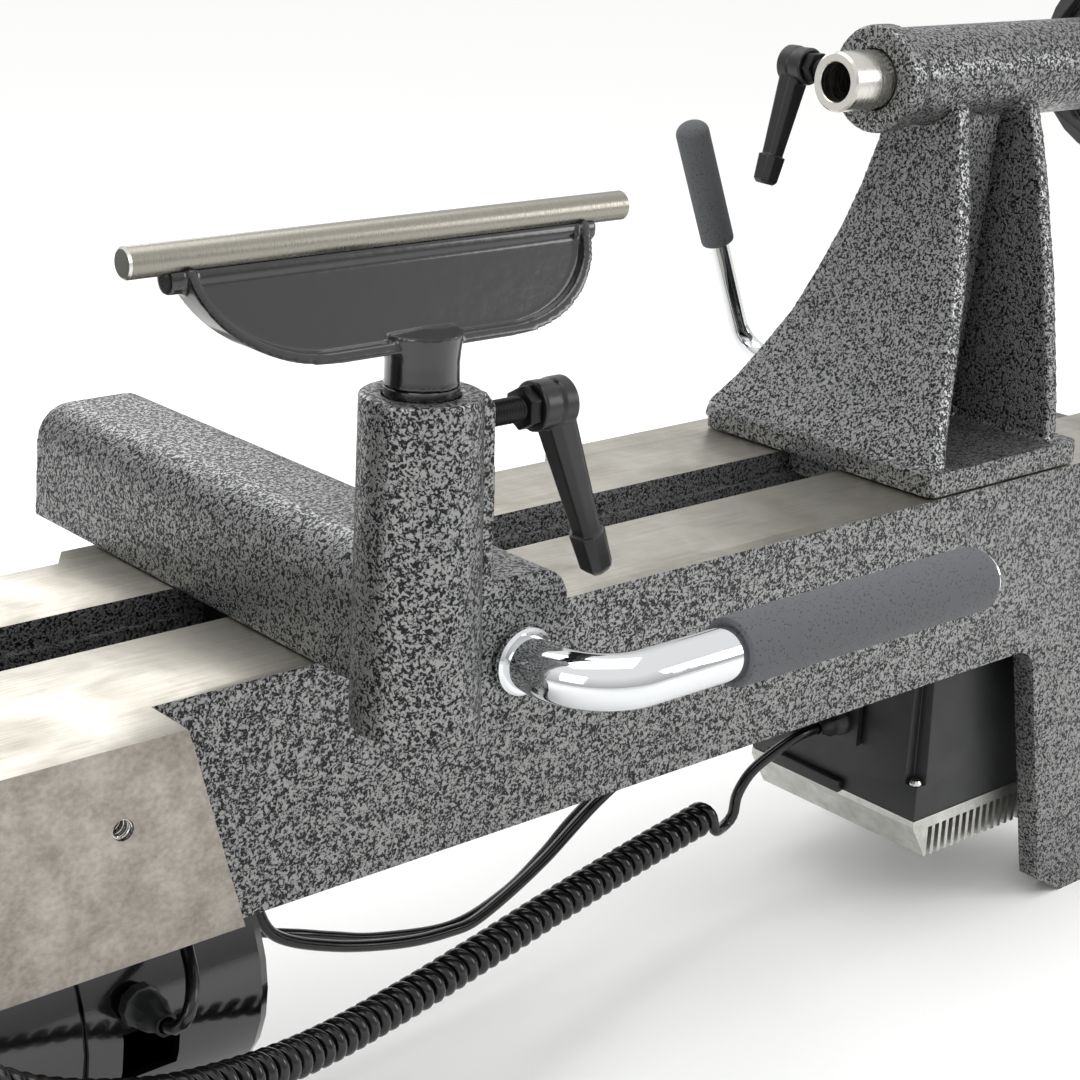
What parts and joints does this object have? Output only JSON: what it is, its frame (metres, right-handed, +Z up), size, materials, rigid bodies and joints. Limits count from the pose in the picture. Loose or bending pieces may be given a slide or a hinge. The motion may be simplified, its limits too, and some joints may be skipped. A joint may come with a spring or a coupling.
{
  "type": "wood lathe",
  "caption": "Bench wood-turning lathe: cast bed with slotted ways, belt-driven spindle headstock, cam-locked banjo with tool rest, tailstock with screw-fed quill, under-bed drive control.",
  "frame": {"origin": "bottom centre of the overall box of the machine without its loose cables, on the bench under the bed", "axes": "+X along the bed from the headstock to the tailstock, +Y from the operator's side to the back, +Z up"},
  "size_m": [1.0476, 0.3248, 0.479],
  "materials": {
    "hammered_paint": "silver-grey hammered enamel on cast iron, worm-like dark veins",
    "bright_steel": "turned and ground bright steel",
    "satin_steel": "satin round bar",
    "black_oxide": "chemically blackened steel",
    "black_enamel": "gloss black enamel on cast iron",
    "black_plastic": "satin black moulded plastic",
    "chrome": "bright chromium plate",
    "grey_foam": "closed-cell foam sleeve with a fine pitted skin",
    "gloss_black": "gloss black motor shell",
    "aluminium": "plain cast or extruded aluminium",
    "black_pvc": "gloss black flexible cable sheath",
    "belt_rubber": "ribbed belt rubber",
    "red_plastic": "red push button",
    "green_plastic": "green push button",
    "display_window": "dark display window"
  },
  "bodies": {
    "bed": {"bed_casting": "hammered_paint", "headstock_casting": "hammered_paint", "front_spindle_bearing": "bright_steel", "rear_spindle_bearing": "bright_steel", "door_hinge_pin": "bright_steel", "drive_belt": "belt_rubber", "motor_body": "gloss_black", "motor_fan_cowl": "gloss_black", "motor_bracket": "black_oxide", "lower_belt_guard": "hammered_paint", "inverter_housing": "black_plastic", "inverter_heat_sink": "aluminium", "inverter_bracket": "black_oxide", "cable_gland_plate": "black_plastic", "mains_inlet": "black_plastic", "motor_cable_gland": "black_plastic", "remote_housing": "black_plastic", "remote_display": "display_window", "remote_strain_relief": "black_pvc", "motor_cable": "black_pvc", "brake_cable": "black_pvc", "remote_coil": "black_pvc", "remote_lead_box_end": "black_pvc", "remote_lead_hand_end": "black_pvc"},
    "spindle": {"spindle": "bright_steel", "spindle_pulley": "aluminium", "index_ring": "bright_steel", "spindle_handwheel": "black_enamel"},
    "motor_rotor": {"motor_pulley": "aluminium", "motor_shaft": "bright_steel"},
    "belt_door": {"belt_door": "hammered_paint"},
    "index_pin": {"index_pin": "black_oxide"},
    "speed_knob": {"speed_knob": "black_plastic"},
    "start_button": {"start_button": "green_plastic"},
    "stop_button": {"stop_button": "red_plastic"},
    "direction_rocker": {"direction_rocker": "black_plastic"},
    "banjo_saddle": {"banjo_clamp_plate": "black_oxide"},
    "banjo_swivel": {"banjo_clamp_bolt": "black_oxide", "banjo_clamp_nut": "black_oxide"},
    "banjo": {"banjo_casting": "hammered_paint"},
    "banjo_cam": {"banjo_cam_rod": "chrome", "banjo_grip": "grey_foam"},
    "post_lock": {"post_lock_stud": "black_oxide"},
    "post_lock_hub": {"post_lock_lever": "black_plastic"},
    "rest_stem": {"tool_rest_stem": "bright_steel"},
    "tool_rest": {"tool_rest_casting": "black_enamel", "tool_rest_bar": "satin_steel"},
    "tailstock": {"tailstock_casting": "hammered_paint", "tailstock_clamp_bolt": "black_oxide", "tailstock_clamp_plate": "black_oxide", "tailstock_clamp_nut": "black_oxide"},
    "quill": {"quill": "bright_steel"},
    "tail_wheel": {"quill_leadscrew": "bright_steel", "tailstock_handwheel": "black_enamel", "crank_pin": "bright_steel"},
    "crank_handle": {"crank_handle": "black_plastic"},
    "tail_cam": {"tailstock_cam_rod": "chrome", "tailstock_grip": "grey_foam"},
    "quill_lock": {"quill_lock_stud": "black_oxide"},
    "quill_lock_hub": {"quill_lock_lever": "black_plastic"}
  },
  "joints": [
    {"name": "spindle_turn", "type": "hinge", "parent": "bed", "child": "spindle", "pos_m": [-0.23975, 0.0334, 0.416], "axis": [1, 0, 0], "continuous": true},
    {"name": "motor_turn", "type": "hinge", "parent": "bed", "child": "motor_rotor", "pos_m": [-0.31775, 0.0334, 0.1], "axis": [1, 0, 0], "continuous": true},
    {"name": "belt_door_swing", "type": "hinge", "parent": "bed", "child": "belt_door", "pos_m": [-0.48675, -0.0341, 0.357], "axis": [0, 0, -1], "range_deg": [0, 110]},
    {"name": "index_pin_push", "type": "slide", "parent": "bed", "child": "index_pin", "axis": [0, 1, 0], "range_m": [0, 0.01], "stiffness_N_per_m": 250, "springref_m": -0.004},
    {"name": "speed_knob_turn", "type": "hinge", "parent": "bed", "child": "speed_knob", "pos_m": [-0.33275, -0.0579, 0.298], "axis": [0, -1, 0], "range_deg": [-135, 135]},
    {"name": "start_press", "type": "slide", "parent": "bed", "child": "start_button", "axis": [0, 1, 0], "range_m": [0, 0.003], "stiffness_N_per_m": 300, "springref_m": -0.001},
    {"name": "stop_press", "type": "slide", "parent": "bed", "child": "stop_button", "axis": [0, 1, 0], "range_m": [0, 0.003], "stiffness_N_per_m": 300, "springref_m": -0.001},
    {"name": "direction_rock", "type": "hinge", "parent": "bed", "child": "direction_rocker", "pos_m": [-0.33275, -0.0546, 0.322], "axis": [0, 0, 1], "range_deg": [-10, 10]},
    {"name": "banjo_travel", "type": "slide", "parent": "bed", "child": "banjo_saddle", "axis": [1, 0, 0], "range_m": [-0.035, 0.23]},
    {"name": "banjo_swing", "type": "hinge", "parent": "banjo_saddle", "child": "banjo_swivel", "pos_m": [-0.05975, 0.0334, 0.238], "axis": [0, 0, 1], "range_deg": [-20, 30]},
    {"name": "banjo_reach", "type": "slide", "parent": "banjo_swivel", "child": "banjo", "axis": [0, 1, 0], "range_m": [-0.09, 0.07]},
    {"name": "banjo_cam_turn", "type": "hinge", "parent": "banjo", "child": "banjo_cam", "pos_m": [-0.05975, -0.1126, 0.2545], "axis": [0, -1, 0], "range_deg": [-10, 100]},
    {"name": "post_lock_turn", "type": "hinge", "parent": "banjo", "child": "post_lock", "pos_m": [-0.04775, -0.1046, 0.3408], "axis": [1, 0, 0], "range_deg": [-60, 60]},
    {"name": "post_lock_pull", "type": "slide", "parent": "post_lock", "child": "post_lock_hub", "axis": [1, 0, 0], "range_m": [0, 0.003], "stiffness_N_per_m": 200, "springref_m": -0.002},
    {"name": "rest_height", "type": "slide", "parent": "banjo", "child": "rest_stem", "axis": [0, 0, 1], "range_m": [-0.001, 0.045]},
    {"name": "rest_swivel", "type": "hinge", "parent": "rest_stem", "child": "tool_rest", "pos_m": [-0.09875, -0.1046, 0.3525], "axis": [0, 0, 1], "range_deg": [-75, 75]},
    {"name": "tailstock_travel", "type": "slide", "parent": "bed", "child": "tailstock", "axis": [1, 0, 0], "range_m": [-0.24, 0.07]},
    {"name": "tail_handwheel_turn", "type": "hinge", "parent": "tailstock", "child": "tail_wheel", "pos_m": [0.44825, 0.0334, 0.416], "axis": [-1, 0, 0], "range_deg": [-1224, 6120]},
    {"name": "quill_feed", "type": "slide", "parent": "tailstock", "child": "quill", "axis": [-1, 0, 0], "range_m": [-0.0171, 0.0851]},
    {"name": "crank_handle_spin", "type": "hinge", "parent": "tail_wheel", "child": "crank_handle", "pos_m": [0.47475, 0.0334, 0.4625], "axis": [1, 0, 0], "continuous": true},
    {"name": "tail_cam_turn", "type": "hinge", "parent": "tailstock", "child": "tail_cam", "pos_m": [0.30425, 0.1034, 0.262], "axis": [0, 1, 0], "range_deg": [-20, 70]},
    {"name": "quill_lock_turn", "type": "hinge", "parent": "tailstock", "child": "quill_lock", "pos_m": [0.27375, 0.0839, 0.416], "axis": [0, 1, 0], "range_deg": [-60, 60]},
    {"name": "quill_lock_pull", "type": "slide", "parent": "quill_lock", "child": "quill_lock_hub", "axis": [0, 1, 0], "range_m": [0, 0.003], "stiffness_N_per_m": 200, "springref_m": -0.002}
  ],
  "couplings": [
    {"joint": "motor_turn", "follows": "spindle_turn", "ratio": 1},
    {"joint": "quill_feed", "follows": "tail_handwheel_turn", "m_per_rad": 0.00079577}
  ]
}
